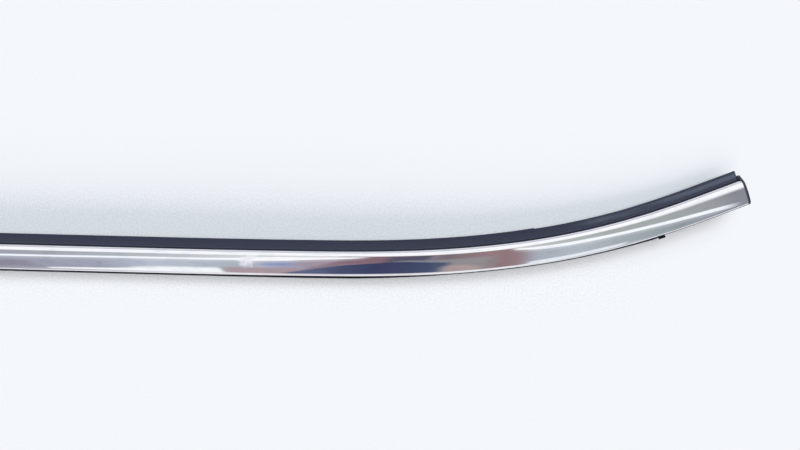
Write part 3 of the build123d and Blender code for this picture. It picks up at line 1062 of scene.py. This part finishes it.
def thin_lamp(g, x, a, colour):
    """A thin light strip that bends down on the right, the high side above it, and its glow. The screen and
    the frame hide it in the middle."""
    strip = g.curve(x, [
        (-0.70, 4.9), (-0.572, 5.1), (-0.503, 5.3), (-0.434, 6.0), (-0.364, 6.4), (-0.295, 6.8), (-0.226, 7.9),
        (-0.158, 9.5), (-0.12, 10.8), (-0.09, 11.8), (-0.070, 12.6), (-0.05, 13.4), (0.0, 13.8), (0.12, 14.0),
        (0.180, 12.5), (0.197, 10.2), (0.2315, 8.6), (0.267, 7.9), (0.304, 6.9), (0.341, 5.6), (0.379, 3.8),
        (0.419, 1.5), (0.463, -1.4), (0.508, -4.9), (0.530, -7.0), (0.60, -14.0), (0.70, -24.0),
    ], *WIDTH, -30.0, 30.0)
    half = g.curve(x, [
        (-0.70, 1.7), (-0.30, 1.8), (-0.250, 1.9), (-0.234, 2.3), (-0.225, 4.2), (-0.212, 3.4), (-0.165, 3.4),
        (-0.150, 2.6), (-0.12, 2.1), (-0.09, 1.6), (-0.070, 1.2), (-0.05, 0.6), (0.0, 0.8), (0.10, 1.8),
        (0.14, 1.9), (0.18, 1.9), (0.22, 2.7), (0.27, 2.7), (0.31, 2.4), (0.38, 2.5), (0.45, 2.6), (0.70, 2.5),
    ], *WIDTH, 0.0, 6.0)
    high_side = gradient(g, x, [
        (-0.60, 158, 160, 170), (-0.50, 166, 168, 176), (-0.40, 176, 180, 186), (-0.30, 194, 197, 202),
        (-0.22, 212, 214, 216), (-0.10, 212, 210, 212), (-0.07, 150, 130, 134), (0.165, 165, 145, 143),
        (0.19, 196, 198, 198), (0.26, 176, 180, 180), (0.33, 166, 170, 170), (0.40, 162, 168, 168),
        (0.46, 156, 160, 163), (0.50, 150, 152, 157), (0.53, 136, 138, 146),
    ])
    upper = g.ramp(g.minus(a, strip), -0.8, 0.8)
    outside = g.minus(1.0, g.span(x, -0.085, 0.170, 0.012))
    colour = g.mix(g.times(upper, outside), colour, high_side)
    shown = g.minus(1.0, g.span(x, -0.056, 0.173, 0.009))
    shown = g.times(shown, g.ramp(x, 0.545, 0.500))
    away = g.math("ABSOLUTE", g.minus(a, strip))
    halo = g.times(g.ramp(away, g.plus(half, 6.5), half), g.minus(shown, upper, clamp=True))
    colour = over(g, halo, colour, WHITE, 0.20)
    lamp = gradient(g, x, [
        (-0.30, 244, 248, 255), (-0.22, 249, 250, 252), (0.18, 249, 250, 252), (0.26, 246, 250, 255),
    ])
    glow = g.ramp(away, g.plus(half, 0.6), g.minus(half, 0.6))
    return g.mix(g.times(glow, shown), colour, lamp)


# Light that spills down from the lamp: left and right end, softness, lean where it fades in, tone, strength
SPILLS = [
    (-0.2292, -0.2180, 0.0012, -7.0, -3.5, (232, 234, 241), 0.85),
    (-0.2180, -0.2130, 0.0018, -2.0, 2.5, (238, 240, 247), 0.9),
]
STREAKS = [
    (-0.2252, -0.2222, 0.0013, -12.0, -6.0, (240, 241, 248), 0.6),
    (-0.2152, -0.2120, 0.0013, -9.5, -5.5, (246, 246, 250), 0.85),
]


def lamp_spill(g, x, a, colour):
    for left, right, soft, low, high, rgb, strength in SPILLS:
        share = g.times(g.span(x, left, right, soft), g.ramp(a, low, high))
        colour = over(g, share, colour, tone(*rgb), strength)
    for left, right, soft, low, high, rgb, strength in STREAKS:
        share = g.times(g.span(x, left, right, soft), g.ramp(a, low, high))
        colour = over(g, g.times(share, g.ramp(a, 6.0, 2.0)), colour, tone(*rgb), strength)
    return colour


def far_wall(g, x, a, colour):
    """The white wall on the glass side, the dimmer part far up and a pale ground far down."""
    wall_foot = g.curve(x, [
        (-0.70, 14.8), (-0.30, 15.0), (-0.20, 15.5), (-0.10, 15.7), (-0.04, 15.0), (0.15, 15.0), (0.20, 16.4),
        (0.26, 16.8), (0.34, 16.7), (0.42, 16.5), (0.50, 16.5), (0.70, 17.0),
    ], *WIDTH, 10.0, 20.0)
    wall = gradient(g, x, [(-0.60, 246, 248, 252), (0.25, 249, 250, 252), (0.56, 248, 248, 252)])
    soft = g.plus(g.times(g.ramp(x, 0.30, 0.50), 1.8), 0.9)
    colour = g.mix(g.ramp(g.minus(a, wall_foot), g.times(soft, -1.0), soft), colour, wall)
    colour = g.mix(g.ramp(a, 55.0, 85.0), colour, tone(180, 180, 196))
    return g.mix(g.times(g.ramp(a, -50.0, -76.0), 0.8), colour, tone(248, 248, 252))


def room_colour(g):
    east, north, up = g.split(g.add("ShaderNodeTexCoord").outputs["Generated"])
    up = g.math("MAXIMUM", up, 0.02)
    aside = g.math("DIVIDE", east, up)
    a = g.times(g.math("ARCTANGENT", g.math("DIVIDE", north, up)), 180 / math.pi)
    # On the right the upright edges of the room fan out
    near = g.math("MINIMUM", g.math("MAXIMUM", a, -FAN_LIMIT), FAN_LIMIT)
    fan = g.minus(1.0, g.times(g.times(near, FAN), g.math("GREATER_THAN", aside, 0.0)))
    x = g.math("DIVIDE", aside, fan)
    colour = plain_sides(g, x, a)
    for part in (low_things, dark_screen, right_of_screen, thin_lamp, lamp_spill, far_wall):
        colour = part(g, x, a, colour)
    return colour


def background(g, colour, strength):
    node = g.add("ShaderNodeBackground")
    socket(g.links, node.inputs["Color"], colour)
    node.inputs["Strength"].default_value = strength
    return node.outputs[0]


def surroundings():
    """Soft even light. Glossy rays see the plain room in its place, and the camera a pale backdrop."""
    world = bpy.data.worlds.new("room")
    bpy.context.scene.world = world
    world.use_nodes = True
    g = Graph(world.node_tree)
    paths = g.add("ShaderNodeLightPath").outputs
    even = background(g, (*COOL, 1), 0.10)
    room = background(g, room_colour(g), 1.0)
    unseen = g.shade(paths["Is Glossy Ray"], even, room)
    seen = g.shade(paths["Is Camera Ray"], unseen, background(g, BACKDROP, 1.0))
    g.links.new(seen, g.add("ShaderNodeOutputWorld").inputs[0])


surroundings()
bpy.context.scene.view_settings.view_transform = "Standard"

# Camera: almost straight down
CAMERA_DISTANCE = 0.420
HALF_VIEW = math.radians(30)
SENSOR = 36.0
tilt, roll = math.radians(2.0), math.radians(1.446)
back = Vector((0, -math.sin(tilt), math.cos(tilt)))
up = Vector((0, math.cos(tilt), math.sin(tilt)))
right = Vector((1, 0, 0))
right, up = right * math.cos(roll) + up * math.sin(roll), up * math.cos(roll) - right * math.sin(roll)
look_at = Vector((0.236633, -0.0023267, 0.016))
camera_data = bpy.data.cameras.new("camera")
camera_data.sensor_width = SENSOR
camera_data.lens = SENSOR / 2 / math.tan(HALF_VIEW)
camera_data.clip_start = 0.01
camera = in_scene("camera", camera_data)
turned = Matrix((right, up, back)).transposed().to_4x4()
camera.matrix_world = Matrix.Translation(look_at + back * CAMERA_DISTANCE) @ turned
bpy.context.scene.camera = camera
